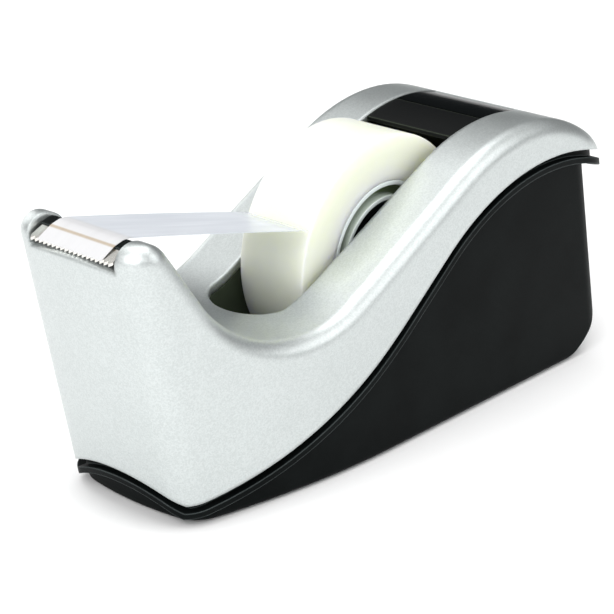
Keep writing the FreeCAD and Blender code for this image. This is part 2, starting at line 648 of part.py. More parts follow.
def base_shell():
    """The black weighted base: wall, overhanging lip, spigot into the cover, deck and pillars."""
    block_body = base_boat("BaseOutside", "0")
    round_edges(block_body, block_body.Group[-1], "bottom_round",
                lambda edge: edge.BoundBox.ZMax < 0.01)
    move(block_body, 0, 0, "base_lift")
    wall = common("BaseWall", block_body, under_cover("BaseTrim", "(groove + lip)"),
                  heel_form("HeelOutside", "0"))
    lip_plate = cut("BaseLip", common("LipPlate", envelope("LipOutside", "0"),
                                      under_cover("LipTop", "groove")),
                    under_cover("LipFoot", "(groove + lip)"))
    spigot = cut("BaseSpigot", common("SpigotPlug", envelope("SpigotOutside", SPIGOT_INSET),
                                      under_cover("SpigotTop", "(0 - spigot_rise)")),
                 under_cover("SpigotFoot", "groove"))
    pillars = [bar for number, (x, half, height) in enumerate(COVER_POSTS)
               for bar in bars(f"Pillar{number}", [(x, half)], "pillar_radius", "deck_height", height)]
    bosses = bars("PlateBoss", PLATE_SCREWS, "boss_radius", PLATE_TOP, DECK_TOP)
    inside = base_boat("BaseInside", "base_wall")
    upper = common("BaseUpperVoid", inside, slab("AboveDeck", DECK_TOP, FAR),
                   heel_form("HeelInside", "base_wall"))
    lower = common("BaseLowerVoid", base_boat("BaseUnderside", "base_wall"),
                   slab("BelowDeck", -FAR, "deck_height", end=PLATE_REAR))
    throat = cut("BaseThroat", envelope("SpigotInside", f"({SPIGOT_INSET} + spigot_wall)"),
                 under_cover("ThroatFoot", "groove"))
    walls = cut("BaseWalls", fuse("BaseBulk", wall, lip_plate, spigot), upper, lower, throat)
    bores = [bar for number, (x, half, height) in enumerate(COVER_POSTS)
             for bar in bars(f"Bore{number}", [(x, half)], "screw_head_radius + screw_clearance",
                             0, f"{height} - screw_grip")
             + bars(f"Hole{number}", [(x, half)], "screw_radius + screw_clearance", 0, FAR)]
    holes = bars("DeckHole", DECK_SCREWS, "screw_radius + screw_clearance", 0, FAR)
    taps = bars("PlateTap", PLATE_SCREWS, "screw_radius", 0, "pad_thickness + plate_screw_length")
    return cut("base_shell", fuse("BaseWithPillars", walls, *pillars, *bosses), *bores, *holes, *taps)


def bottom_plate():
    """The thin plate that closes the base from below."""
    plan = base_boat("PlatePlan", "(base_wall + plate_gap)")
    holes = bars("PlateHole", PLATE_SCREWS, "screw_radius", 0, FAR)
    cones = [sink(f"PlateSink{number}{side}", x, f"{sign}({half})")
             for number, (x, half) in enumerate(PLATE_SCREWS)
             for side, sign in (("Near", "-"), ("Far", ""))]
    sheet_layer = common("PlateLayer", plan, slab("PlateSlab", "pad_thickness", PLATE_TOP,
                                                  end=f"({PLATE_REAR} - plate_gap)"))
    return cut("bottom_plate", sheet_layer, *holes, *cones)


def pad_under(name, offset):
    """A non-slip pad with rounded corners under the plate."""
    body = extrusion(name, "XY_Plane", [
        (f"{offset} - pad_length / 2", "-pad_width / 2"), (f"{offset} + pad_length / 2", "-pad_width / 2"),
        (f"{offset} + pad_length / 2", "pad_width / 2"), (f"{offset} - pad_length / 2", "pad_width / 2")],
        "pad_thickness", middle=False)
    round_edges(body, body.Group[-1], "corner_radius / 2", lambda edge: edge.BoundBox.ZLength > 0.1)
    return body


def ballast(name, offset, length, width, height):
    """A cast block on the deck, tapped for its two screws."""
    body = block(name + "Block", f"{offset} - {length} / 2", f"-{width} / 2", DECK_TOP, length, width,
                 height)
    taps = bars(name + "Tap", [(offset, "ballast_screw_half")], "screw_radius", 0,
                "deck_height + deck_screw_length + screw_clearance")
    return cut(name, body, *taps)


# ---------------------------------------------------------------- well and panel
def well_side(name, margin):
    """Return the side shape of the well as a wide solid, open upwards, grown by margin."""
    radius = f"({WELL_RADIUS} + {margin})"
    front = f"({OPENING_FRONT} - opening_nose - {margin})"
    ramp = (f"roll_offset + {radius} * cos(ramp_angle)", f"{AXIS_Z} + {radius} * sin(ramp_angle)")
    chute = (f"roll_offset - {radius} * sin(chute_angle)", f"{AXIS_Z} - {radius} * cos(chute_angle)")
    mouth = (front, f"{chute[1]} + ({chute[0]} - {front}) * tan(chute_angle)")
    low = ("roll_offset", f"{AXIS_Z} - {radius}")
    aft = (f"roll_offset + {radius}", AXIS_Z)
    return extrusion(name, "XZ_Plane", [(ramp[0], FAR), (front, FAR), mouth, (*chute, radius),
                                        (*low, radius), (*aft, radius), ramp], FAR)


def slot_shape(name, half):
    """Return a slanted bar across the body, round at the axle, that rises out of the well."""
    reach = "(crest_height)"
    along, aside = ("-sin(slot_lean)", "cos(slot_lean)"), ("cos(slot_lean)", "sin(slot_lean)")
    near = (f"roll_offset - {half} * {aside[0]}", f"{AXIS_Z} - {half} * {aside[1]}")
    low = (f"roll_offset - {half} * ({along[0]})", f"{AXIS_Z} - {half} * {along[1]}")
    far = (f"roll_offset + {half} * {aside[0]}", f"{AXIS_Z} + {half} * {aside[1]}")
    far_top = (f"{far[0]} + {reach} * ({along[0]})", f"{far[1]} + {reach} * {along[1]}")
    near_top = (f"{near[0]} + {reach} * ({along[0]})", f"{near[1]} + {reach} * {along[1]}")
    return extrusion(name, "XZ_Plane", [(*near, half), (*low, half), far, far_top, near_top], FAR)


def tape_well():
    """The tub under the roll, with slotted ribs that carry the hub and a ramp behind the roll."""
    under_roof = below_profile("WellRoof", SPIGOT_INSET)
    outer = common("WellOuter", well_side("WellOuterSide", "well_wall"),
                   opening("WellOuterPlan", "well_wall"), under_roof)
    inner = common("WellInner", well_side("WellInnerSide", "0"), opening("WellInnerPlan", "0"))
    ramp = cut("WellRamp", common("RampBlock", below_profile("RampTop", "panel_recess"),
                                  opening("RampPlan", "(0 - fit_gap)", "roll_offset",
                                          f"({PANEL_FRONT})"),
                                  slab("RampSlab", AXIS_Z, FAR)),
               well_side("RampRelief", "0"))
    ribs = cut("WellRibs", common("RibBars", slot_shape("RibBar", "(stub_radius + stub_gap + rib_wall)"),
                                  opening("RibPlan", "(well_wall / 2)"),
                                  below_profile("RibRoof", SPIGOT_INSET)),
               block("RibGap", -FAR, "-tape_width / 2 - rib_gap", 0, 2 * FAR,
                     "tape_width + 2 * rib_gap", FAR))
    bosses = bars("WellBoss", [("roll_offset", "well_screw_half")], "boss_radius", DECK_TOP,
                  "well_floor_height + well_wall / 2")
    taps = bars("WellTap", [("roll_offset", "well_screw_half")], "screw_radius", 0,
                "deck_height + deck_screw_length + screw_clearance")
    tub = cut("WellTub", outer, inner)
    return cut("tape_well", fuse("WellBulk", tub, ramp, ribs, *bosses),
               slot_shape("WellSlot", "(stub_radius + stub_gap)"), *taps)


def rear_panel():
    """The gloss panel behind the roll, flush in the opening, with a flange under the roof."""
    front = f"({PANEL_FRONT} + fit_gap)"
    plug = common("PanelPlug", below_profile("PanelTop", "panel_recess"),
                  opening("PanelPlan", "(0 - fit_gap)", front))
    flange = common("PanelFlange", below_profile("FlangeTop", SPIGOT_INSET),
                    opening("FlangePlan", "well_wall", front))
    return cut("rear_panel", fuse("PanelBulk", plug, flange),
               below_profile("PanelUnderside", f"({SPIGOT_INSET} + panel_thickness)"))


# ---------------------------------------------------------------- cutter head
def blade_carrier():
    """The black block in the head that the blade is riveted to."""
    low, high = "head_floor", "blade_height - blade_thickness"
    corners = [(f"{TEETH_X} + seat_front + fit_gap", low), (f"{TEETH_X} + seat_rear - fit_gap", low),
               (f"{TEETH_X} + seat_rear - fit_gap", high), (f"{TEETH_X} + blade_bend", high),
               (f"{TEETH_X} + seat_front + fit_gap",
                f"{high} - blade_droop * (blade_bend - seat_front - fit_gap) / blade_bend")]
    body = extrusion("CarrierBlock", "XZ_Plane", corners, "2 * landing_half")
    holes = bars("CarrierHole", [(RIVET_X, "rivet_half")], "rivet_radius",
                 f"{high} - rivet_length", FAR)
    return cut("blade_carrier", body, *holes)


def cutter_blade():
    """The bent steel strip with a row of small teeth along its front edge."""
    top, under = "blade_height", "blade_height - blade_thickness"
    body = extrusion("BladeStrip", "XZ_Plane", [
        (TEETH_X, f"{under} - blade_droop"), (f"{TEETH_X} + blade_bend", under),
        (f"{TEETH_X} + seat_rear - fit_gap", under), (f"{TEETH_X} + seat_rear - fit_gap", top),
        (f"{TEETH_X} + blade_bend", top), (TEETH_X, f"{top} - blade_droop")], "2 * blade_half")
    count = int(value("2 * blade_half / tooth_pitch"))
    outside = (f"{TEETH_X} - tooth_depth", "(blade_half + tooth_depth)")
    comb = [(outside[0], f"-{outside[1]}"), outside]
    for tooth in range(count, -1, -1):
        root = f"-blade_half + {tooth} * 2 * blade_half / {count}"
        comb.append((f"{TEETH_X} + tooth_depth", root))
        if tooth:
            comb.append((TEETH_X, f"{root} - blade_half / {count}"))
    notches = extrusion("BladeComb", "XY_Plane", comb, FAR, middle=False)
    holes = bars("BladeHole", [(RIVET_X, "rivet_half")], "rivet_radius", 0, FAR)
    return cut("cutter_blade", body, notches, *holes)


def blade_rivets():
    """Two rivets that hold the blade on its carrier."""
    place = [(RIVET_X, "rivet_half")]
    shafts = bars("RivetShaft", place, "rivet_radius",
                  "blade_height - blade_thickness - rivet_length", "blade_height")
    heads = bars("RivetHead", place, "rivet_head_radius", "blade_height", "blade_height + rivet_head")
    return fuse("blade_rivets", *shafts, *heads)


def landing_bar():
    """The black bar behind the blade that the free end of the tape lies on."""
    crest = f"{TEETH_X} + blade_bend + landing_width"
    body = extrusion("LandingBlock", "XZ_Plane", [
        (f"{TEETH_X} + blade_bend", "blade_height"), (f"{TEETH_X} + seat_rear - fit_gap", "blade_height"),
        (f"{TEETH_X} + seat_rear - fit_gap", "landing_height - landing_slope / 2"),
        (f"{crest} + landing_flat", "landing_height"), (crest, "landing_height"),
        (f"{TEETH_X} + blade_bend", "landing_height - landing_slope")], "2 * landing_half")
    dimples = bars("LandingDimple", [(RIVET_X, "rivet_half")],
                   "rivet_head_radius", 0, "blade_height + rivet_head")
    return cut("landing_bar", body, *dimples)


# ---------------------------------------------------------------- roll, core and hub
def turned(name, corners):
    """Return a body of revolution about the roll axis; corners are radius, distance along Y."""
    body = new_body(name)
    outline = Outline(body, name + "Outline", "XY_Plane")
    outline.polygon(corners)
    revolve(body, outline, "Y_Axis")
    move(body, "roll_offset", 0, AXIS_Z)
    return body


def tape_roll():
    """The wound tape."""
    edge = "tape_width / 2"
    return turned("tape_roll", [("core_radius", f"-{edge}"), ("roll_radius", f"-{edge}"),
                                ("roll_radius", edge), ("core_radius", edge)])


def tape_core():
    """The moulded core: two sleeves joined by a web near one end."""
    edge, web = "tape_width / 2", "(tape_width / 2 - core_web_depth)"
    inner, outer = "core_bore + core_skin", "core_radius - core_skin"
    return turned("tape_core", [
        ("core_bore", f"-{edge}"), (inner, f"-{edge}"), (inner, f"-{web}"), (outer, f"-{web}"),
        (outer, f"-{edge}"), ("core_radius", f"-{edge}"), ("core_radius", edge), (outer, edge),
        (outer, f"-{web} + core_web"), (inner, f"-{web} + core_web"), (inner, edge),
        ("core_bore", edge)])


def hub_half(name, sign, inner_corners):
    """One half of the hub: drum, recessed web and axle stub; sign is - near, + far."""
    drum, edge = "core_bore - hub_gap", "(tape_width / 2 - hub_end)"
    bore, web = f"{drum} - hub_wall", "(tape_width / 2 - hub_end - hub_web_depth)"
    stub = "(tape_width / 2 + stub_reach)"
    corners = [(0, stub), ("stub_radius", stub), ("stub_radius", web), (bore, web), (bore, edge),
               (drum, edge), (drum, "hub_gap"), (bore, "hub_gap"), (bore, f"{web} - hub_web")]
    corners += inner_corners
    return turned(name, [(x, f"{sign}({y})") for x, y in corners])


def hub_left():
    """The near half of the hub, with the pin."""
    web_back = "(tape_width / 2 - hub_end - hub_web_depth) - hub_web"
    return hub_half("hub_left", "-", [("pin_radius", web_back), ("pin_radius", "0 - pin_length"),
                                      (0, "0 - pin_length")])


def hub_right():
    """The far half of the hub, with the socket."""
    web_back = "(tape_width / 2 - hub_end - hub_web_depth) - hub_web"
    wall = "pin_radius + socket_wall"
    return hub_half("hub_right", "", [(wall, web_back), (wall, "hub_gap"), ("pin_radius", "hub_gap"),
                                      ("pin_radius", web_back), (0, web_back)])


def tape_tail():
    """The free end of the tape, from the teeth over the landing to where it leaves the roll."""
    reach = "(roll_radius + peel_gap)"
    path = [(f"{TEETH_X} + tape_gap", "blade_height - blade_droop + 2 * tape_gap"),
            (f"{TEETH_X} + blade_bend", "landing_height - landing_slope + 2 * tape_gap"),
            (f"{TEETH_X} + blade_bend + landing_width", "landing_height + 2 * tape_gap"),
            (f"{TEETH_X} + seat_rear - fit_gap", "landing_height + 2 * tape_gap"),
            (f"{TEETH_X} + seat_rear + tail_bend", "landing_height - landing_slope"),
            (f"roll_offset - sqrt({reach}^2 - (peel_height - {AXIS_Z})^2)", "peel_height")]
    upper = [(x, f"{z} + tape_thickness") for x, z in reversed(path)]
    return extrusion("tape_tail", "XZ_Plane", path + upper, "tape_width")


NODES = [
    top_cover(), base_shell(), bottom_plate(), pad_under("front_pad", "front_pad_offset"),
    pad_under("rear_pad", "rear_pad_offset"),
    ballast("front_ballast", "front_ballast_offset", "front_ballast_length", "front_ballast_width",
            "front_ballast_height"),
    ballast("rear_ballast", "rear_ballast_offset", "rear_ballast_length", "rear_ballast_width",
            "rear_ballast_height"),
    tape_well(), rear_panel(), blade_carrier(), cutter_blade(), blade_rivets(), landing_bar(),
    tape_roll(), tape_core(), hub_left(), hub_right(), tape_tail(), cover_screws(), deck_screws(),
    plate_screws(),
]

doc.recompute()
failed = [item.Name for item in doc.Objects if {"Invalid", "Error"} & set(item.State)]
failed += [node.Label for node in NODES if node.Shape.isNull() or not node.Shape.isValid()]
if failed:
    raise RuntimeError("these objects failed: " + ", ".join(failed))
os.makedirs("parts", exist_ok=True)
for node in NODES:
    node.Shape.exportStep(os.path.join("parts", node.Label + ".step"))
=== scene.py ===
"""Looks of a desk tape dispenser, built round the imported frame: finishes, wound tape, hub, strand.

All lengths are in metres in the frame's own axes: +X from the cutter to the rear, +Y across,
+Z up. Every new piece is a surface worked out as whole arrays; a CAD node keeps its shape and
only gets a finish, or is stood for by a welded copy or a finer surface.
"""
from __future__ import annotations

import logging
import math
from dataclasses import dataclass
from enum import Enum

import bmesh
import bpy
import numpy as np
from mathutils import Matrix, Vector


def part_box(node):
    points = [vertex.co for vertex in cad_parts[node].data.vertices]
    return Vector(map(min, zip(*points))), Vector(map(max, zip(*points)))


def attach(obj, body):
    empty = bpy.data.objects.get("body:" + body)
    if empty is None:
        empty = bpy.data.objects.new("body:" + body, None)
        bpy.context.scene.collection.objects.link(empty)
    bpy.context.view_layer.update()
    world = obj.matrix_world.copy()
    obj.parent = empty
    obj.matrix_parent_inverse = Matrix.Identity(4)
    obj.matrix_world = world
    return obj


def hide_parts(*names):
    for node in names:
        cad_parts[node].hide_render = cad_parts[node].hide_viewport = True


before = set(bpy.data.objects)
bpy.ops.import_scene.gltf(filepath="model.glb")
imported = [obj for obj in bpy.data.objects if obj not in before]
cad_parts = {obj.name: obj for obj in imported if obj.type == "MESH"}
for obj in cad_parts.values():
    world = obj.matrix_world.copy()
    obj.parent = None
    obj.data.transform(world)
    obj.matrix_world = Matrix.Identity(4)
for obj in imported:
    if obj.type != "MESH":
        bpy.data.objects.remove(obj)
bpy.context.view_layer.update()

LOG = logging.getLogger("dispenser")
MM = 0.001
WELD = 1e-6
SLIVER = 1e-7
SMOOTH_ANGLE = 32.0
RGB = tuple[float, float, float]
Triple = tuple[float, float, float]
Span = tuple[float, float]


class Body(Enum):
    """The bodies that pieces ride on."""

    DISPENSER = "dispenser"
    STRAND = "strand"
    ROLL = "roll"


# ------------------------------------------------------------------------------ shader maths
class Field:
    """A number socket that grows Math nodes as it is added, multiplied or compared."""

    def __init__(self, graph: "Graph", socket: bpy.types.NodeSocket) -> None:
        """Keep the graph that the socket belongs to."""
        self.graph = graph
        self.socket = socket

    def chain(self, operation: str, *terms: "Field | float") -> "Field":
        """Return the result of one Math node.

        Args:
            operation: the Math node's operation.
            terms: its inputs in order, fields or numbers.

        Returns:
            The node's value as a new field.
        """
        return self.graph.number("ShaderNodeMath", {"operation": operation}, dict(enumerate(terms)))

    def __add__(self, other: "Field | float") -> "Field":
        """Return self + other."""
        return self.chain("ADD", self, other)

    __radd__ = __add__

    def __sub__(self, other: "Field | float") -> "Field":
        """Return self - other."""
        return self.chain("SUBTRACT", self, other)

    def __rsub__(self, other: "Field | float") -> "Field":
        """Return other - self."""
        return self.chain("SUBTRACT", other, self)

    def __mul__(self, other: "Field | float") -> "Field":
        """Return self * other."""
        return self.chain("MULTIPLY", self, other)

    __rmul__ = __mul__

    def __pow__(self, other: "Field | float") -> "Field":
        """Return self to the power of other."""
        return self.chain("POWER", self, other)

    def step(self, low: float, high: float) -> "Field":
        """Return 0 below low, 1 above high and a smooth rise between them."""
        return self.graph.number("ShaderNodeMapRange", {"interpolation_type": "SMOOTHSTEP"},
                                 {"Value": self, "From Min": low, "From Max": high})


class Graph:
    """The node tree of one material."""

    def __init__(self, name: str) -> None:
        """Start an empty material with an output node."""
        self.material = bpy.data.materials.new(name)
        self.material.use_nodes = True
        self.tree = self.material.node_tree
        self.tree.nodes.clear()
        self.output = self.tree.nodes.new("ShaderNodeOutputMaterial")
        self.place = self.node("ShaderNodeTexCoord").outputs["Object"]

    def node(self, kind: str, settings: dict | None = None,
             inputs: dict | None = None) -> bpy.types.Node:
        """Add a node.

        Args:
            kind: the node's type name.
            settings: properties of the node, such as a Math node's operation; they are set first.
            inputs: values, fields or sockets by input name or number.

        Returns:
            The new node.
        """
        item = self.tree.nodes.new(kind)
        for key, setting in (settings or {}).items():
            setattr(item, key, setting)
        for key, value in (inputs or {}).items():
            self.feed(item.inputs[key], value)
        return item

    def feed(self, socket: bpy.types.NodeSocket, value: object) -> None:
        """Link a field or socket to an input, or set the input to a plain value.

        Args:
            socket: the input.
            value: a field, an output socket, or a plain value.
        """
        if isinstance(value, Field):
            value = value.socket
        if isinstance(value, bpy.types.NodeSocket):
            self.tree.links.new(value, socket)
        else:
            socket.default_value = value

    def number(self, kind: str, settings: dict, inputs: dict) -> Field:
        """Add a node and return its first output as a field."""
        return Field(self, self.node(kind, settings, inputs).outputs[0])

    def noise(self, scale: float, detail: float = 2.0,
              place: bpy.types.NodeSocket | None = None) -> Field:
        """Return fractal noise from 0 to 1; scale is in cycles per metre."""
        return self.number("ShaderNodeTexNoise", {}, {
            "Vector": place or self.place, "Scale": scale, "Detail": detail})

    def cells(self, scale: float) -> Field:
        """Return one random number for each cell of a fine random pattern.

        Args:
            scale: the number of cells in a metre.

        Returns:
            The number, from 0 to 1.
        """
        item = self.node("ShaderNodeTexVoronoi", {}, {"Vector": self.place, "Scale": scale})
        split = self.node("ShaderNodeSeparateColor", {}, {0: item.outputs["Color"]})
        return Field(self, split.outputs[0])

    def axes(self) -> tuple[Field, Field, Field]:
        """Return the object coordinates as three fields."""
        split = self.node("ShaderNodeSeparateXYZ", {}, {0: self.place})
        return tuple(Field(self, out) for out in split.outputs)

    def distance(self, axis_x: float, axis_z: float) -> Field:
        """Return the distance from an axis that runs along Y through (axis_x, axis_z)."""
        x, _, z = self.axes()
        return ((x - axis_x) ** 2.0 + (z - axis_z) ** 2.0) ** 0.5

    def stretched(self, scale: Triple) -> bpy.types.NodeSocket:
        """Return the object coordinates with each axis scaled."""
        return self.node("ShaderNodeMapping", {},
                         {"Vector": self.place, "Scale": scale}).outputs[0]

    def blend(self, factor: Field | float, low: object, high: object) -> bpy.types.NodeSocket:
        """Return a colour that goes from low at factor 0 to high at factor 1.

        Args:
            factor: the share of the second colour.
            low: the first colour, an rgb tuple or a colour socket.
            high: the second colour, given in the same way.

        Returns:
            The blended colour.
        """
        first, second = (item if isinstance(item, bpy.types.NodeSocket) else (*item, 1.0)
                         for item in (low, high))
        return self.node("ShaderNodeMix", {"data_type": "RGBA"},
                         {0: factor, 6: first, 7: second}).outputs[2]

    def bump(self, height: Field, strength: float, depth: float,
             base: bpy.types.NodeSocket | None = None) -> bpy.types.NodeSocket:
        """Return a normal that follows a height field.

        Args:
            height: the relief, from 0 to 1.
            strength: how far the normal turns.
            depth: the relief's real height in metres.
            base: the normal that the relief lies on, or None for the surface's own.

        Returns:
            The new normal.
        """
        inputs = {"Strength": strength, "Distance": depth, "Height": height}
        if base is not None:
            inputs["Normal"] = base
        return self.node("ShaderNodeBump", {}, inputs).outputs[0]

    def dot(self, first: bpy.types.NodeSocket, second: bpy.types.NodeSocket | Triple) -> Field:
        """Return the dot product of two vectors."""
        item = self.node("ShaderNodeVectorMath", {"operation": "DOT_PRODUCT"},
                         {0: first, 1: second})
        return Field(self, item.outputs["Value"])

    def edges(self, radius: float,
              turned: Span = (0.015, 0.16)) -> tuple[bpy.types.NodeSocket, Field]:
        """Find the edges of a surface by rounding its normals.

        Args:
            radius: how far the rounding reaches from an edge, in metres.
            turned: the turn of a normal, as 1 - cos, at which the mask starts and is full.

        Returns:
            The rounded normals, and a mask that is 1 on the edges.
        """
        soft = self.node("ShaderNodeBevel", {"samples": 6}, {"Radius": radius}).outputs[0]
        flat = self.node("ShaderNodeNewGeometry").outputs["Normal"]
        return soft, (1.0 - self.dot(soft, flat)).step(*turned)

    def finish(self, **inputs: object) -> bpy.types.Material:
        """Close the graph with one Principled shader.

        Args:
            inputs: values, fields or sockets by input name, its words joined by _.

        Returns:
            The finished material.
        """
        named = {key.replace("_", " "): value for key, value in inputs.items()}
        shader = self.node("ShaderNodeBsdfPrincipled", {}, named)
        self.tree.links.new(shader.outputs[0], self.output.inputs[0])
        return self.material


class SkyGraph(Graph):
    """The node tree of the surroundings; its places are directions of view."""

    def __init__(self, name: str) -> None:
        """Start empty surroundings with an output node."""
        world = bpy.data.worlds.new(name)
        bpy.context.scene.world = world
        world.use_nodes = True
        self.tree = world.node_tree
        self.tree.nodes.clear()
        self.output = self.tree.nodes.new("ShaderNodeOutputWorld")
        self.place = self.node("ShaderNodeTexCoord").outputs["Generated"]

    def shine(self, colour: bpy.types.NodeSocket, strength: float) -> None:
        """Close the graph with one background of a colour and a strength."""
        light = self.node("ShaderNodeBackground", {}, {"Color": colour, "Strength": strength})
        self.tree.links.new(light.outputs[0], self.output.inputs[0])


# ------------------------------------------------------------------------------ finishes
@dataclass(frozen=True)
class SilverPaint:
    """Satin metallic paint: fine flakes under a thin clear coat."""

    name: str = "silver_paint"
    light: RGB = (0.60, 0.635, 0.63)
    dark: RGB = (0.51, 0.545, 0.54)
    flake_scale: float = 3600.0
    cloud_scale: float = 90.0
    shares: Triple = (0.35, 0.45, 0.2)
    contrast: Span = (0.25, 0.75)
    metallic: float = 0.82
    roughness: float = 0.38
    swing: Span = (0.12, 0.06)
    coat: float = 0.10
    coat_roughness: float = 0.22
    relief: float = 0.035
    depth: float = 0.2 * MM
    softening: float = 1.2 * MM

    def build(self) -> bpy.types.Material:
        """Build the material.

        Returns:
            The material, closed with one Principled shader.
        """
        graph = Graph(self.name)
        flake = graph.cells(self.flake_scale)
        fine = graph.noise(self.flake_scale * 0.6, 1.0)
        cloud = graph.noise(self.cloud_scale, 3.0)
        tone = flake * self.shares[0] + fine * self.shares[1] + cloud * self.shares[2]
        colour = graph.blend(tone.step(*self.contrast), self.dark, self.light)
        roughness = (self.roughness + (fine - 0.5) * self.swing[0]
                     + (cloud - 0.5) * self.swing[1])
        soft, _ = graph.edges(self.softening)
        return graph.finish(
            Base_Color=colour, Metallic=self.metallic, Roughness=roughness,
            Coat_Weight=self.coat, Coat_Roughness=self.coat_roughness,
            Normal=graph.bump(flake * 0.5 + fine * 0.5, self.relief, self.depth, soft))


@dataclass(frozen=True)
class MouldedPlastic:
    """Dark moulded plastic with a fine spark-eroded grain and a painted highlight that lightens its
    edges a little.

    Where black_above is not zero, the colour goes to black over the fade above that height.
    """

    name: str
    colour: RGB = (0.0025, 0.0035, 0.0035)
    lift: RGB = (0.005, 0.0065, 0.0065)
    roughness: float = 0.46
    swing: Span = (0.10, 0.08)
    relief: float = 0.10
    depth: float = 0.3 * MM
    grain_scale: float = 2200.0
    cloud_scale: float = 55.0
    contrast: Span = (0.3, 0.7)
    specular: float = 0.035
    softening: float = 0.55 * MM
    # Lighter colour painted on the edges as a highlight.
    edge_highlight: RGB = (0.085, 0.10, 0.10)
    black: RGB = (0.002, 0.0025, 0.0025)
    black_above: float = 0.0
    fade: float = 4 * MM

    def build(self) -> bpy.types.Material:
        """Build the material.

        Returns:
            The material, closed with one Principled shader.
        """
        graph = Graph(self.name)
        grain = graph.noise(self.grain_scale, 2.0)
        cloud = graph.noise(self.cloud_scale, 4.0)
        soft, edge = graph.edges(self.softening)
        plain = graph.blend(cloud.step(*self.contrast), self.colour, self.lift)
        if self.black_above:
            _, _, height = graph.axes()
            dark = height.step(self.black_above, self.black_above + self.fade)
            plain = graph.blend(dark, plain, self.black)
        # Painted highlight: the edges found by the rounded normals take a lighter colour, standing
        # for the light they catch.
        colour = graph.blend(edge * (0.6 + cloud * 0.4), plain, self.edge_highlight)
        roughness = (self.roughness + (cloud - 0.5) * self.swing[0]
                     + (grain - 0.5) * self.swing[1])
        return graph.finish(
            Base_Color=colour, Roughness=roughness, Specular_IOR_Level=self.specular,
            Normal=graph.bump(grain, self.relief, self.depth, soft))


@dataclass(frozen=True)
class GlossPlastic:
    """Polished dark plastic with faint hairline scratches."""

    name: str
    colour: RGB = (0.0015, 0.002, 0.002)
    lift: RGB = (0.003, 0.0035, 0.0035)
    roughness: float = 0.10
    swing: Span = (0.12, 0.04)
    specular: float = 0.07
    hair_scale: float = 260.0
    hair_stretch: Triple = (1.0, 14.0, 1.0)
    hair_contrast: Span = (0.55, 0.75)
    cloud_scale: float = 70.0
    relief: float = 0.02
    depth: float = 0.2 * MM

    def build(self) -> bpy.types.Material:
        """Build the material.

        Returns:
            The material, closed with one Principled shader.
        """
        graph = Graph(self.name)
        hair = graph.noise(self.hair_scale, 3.0, graph.stretched(self.hair_stretch))
        cloud = graph.noise(self.cloud_scale, 2.0)
        colour = graph.blend(cloud, self.colour, self.lift)
        roughness = (self.roughness + hair.step(*self.hair_contrast) * self.swing[0]
                     + cloud * self.swing[1])
        return graph.finish(
            Base_Color=colour, Roughness=roughness, Specular_IOR_Level=self.specular,
            Normal=graph.bump(hair, self.relief, self.depth))


@dataclass(frozen=True)
class Metal:
    """Rolled or cast metal with streaks along one axis."""

    name: str
    colour: RGB
    shade: RGB
    roughness: float
    swing: float = 0.16
    streak: Triple = (1.0, 1.0, 1.0)
    scale: float = 900.0
    cloud_scale: float = 120.0
    metallic: float = 1.0
    relief: float = 0.05
    depth: float = 0.2 * MM

    def build(self) -> bpy.types.Material:
        """Build the material.

        Returns:
            The material, closed with one Principled shader.
        """
        graph = Graph(self.name)
        lines = graph.noise(self.scale, 4.0, graph.stretched(self.streak))
        cloud = graph.noise(self.cloud_scale, 3.0)
        colour = graph.blend(lines * 0.6 + cloud * 0.4, self.shade, self.colour)
        roughness = self.roughness + (lines - 0.5) * self.swing
        return graph.finish(Base_Color=colour, Metallic=self.metallic, Roughness=roughness,
                            Normal=graph.bump(lines, self.relief, self.depth))


@dataclass(frozen=True)
class WoundTape:
    """Milky wound tape: turns show as fine rings on the ends and faint bands on the rim."""

    axis_x: float
    axis_z: float
    name: str = "wound_tape"
    milk: RGB = (0.78, 0.80, 0.72)
    warm: RGB = (0.75, 0.79, 0.55)
    ring_scale: float = 4200.0
    band_scale: float = 160.0
    cloud_scale: float = 38.0
    band_contrast: Span = (0.42, 0.75)
    ring_contrast: Span = (0.55, 0.8)
    drift: float = 0.02
    roughness: float = 0.34
    swing: float = 0.14
    glow: float = 0.75
    glow_share: Triple = (1.0, 1.0, 0.62)
    glow_reach: float = 9.0 * MM
    coat: float = 0.1
    relief: float = 0.10
    depth: float = 0.2 * MM

    def build(self) -> bpy.types.Material:
        """Build the material; the distance from the roll's axis drives rings and bands.

        Returns:
            The material, closed with one Principled shader.
        """
        graph = Graph(self.name)
        _, y, _ = graph.axes()
        radius = graph.distance(self.axis_x, self.axis_z)
        spread = graph.node("ShaderNodeCombineXYZ", {}, {0: radius, 1: y * self.drift}).outputs[0]
        rings = graph.noise(self.ring_scale, 3.0, spread)
        bands = graph.noise(self.band_scale, 3.0, spread)
        cloud = graph.noise(self.cloud_scale, 3.0)
        warmth = ((bands * 0.45 + cloud * 0.55).step(*self.band_contrast) * 0.55
                  + rings.step(*self.ring_contrast) * 0.15)
        return graph.finish(
            Base_Color=graph.blend(warmth, self.milk, self.warm),
            Roughness=self.roughness + rings * self.swing, Subsurface_Weight=self.glow,
            Subsurface_Radius=self.glow_share, Subsurface_Scale=self.glow_reach,
            Coat_Weight=self.coat, Normal=graph.bump(rings, self.relief, self.depth))


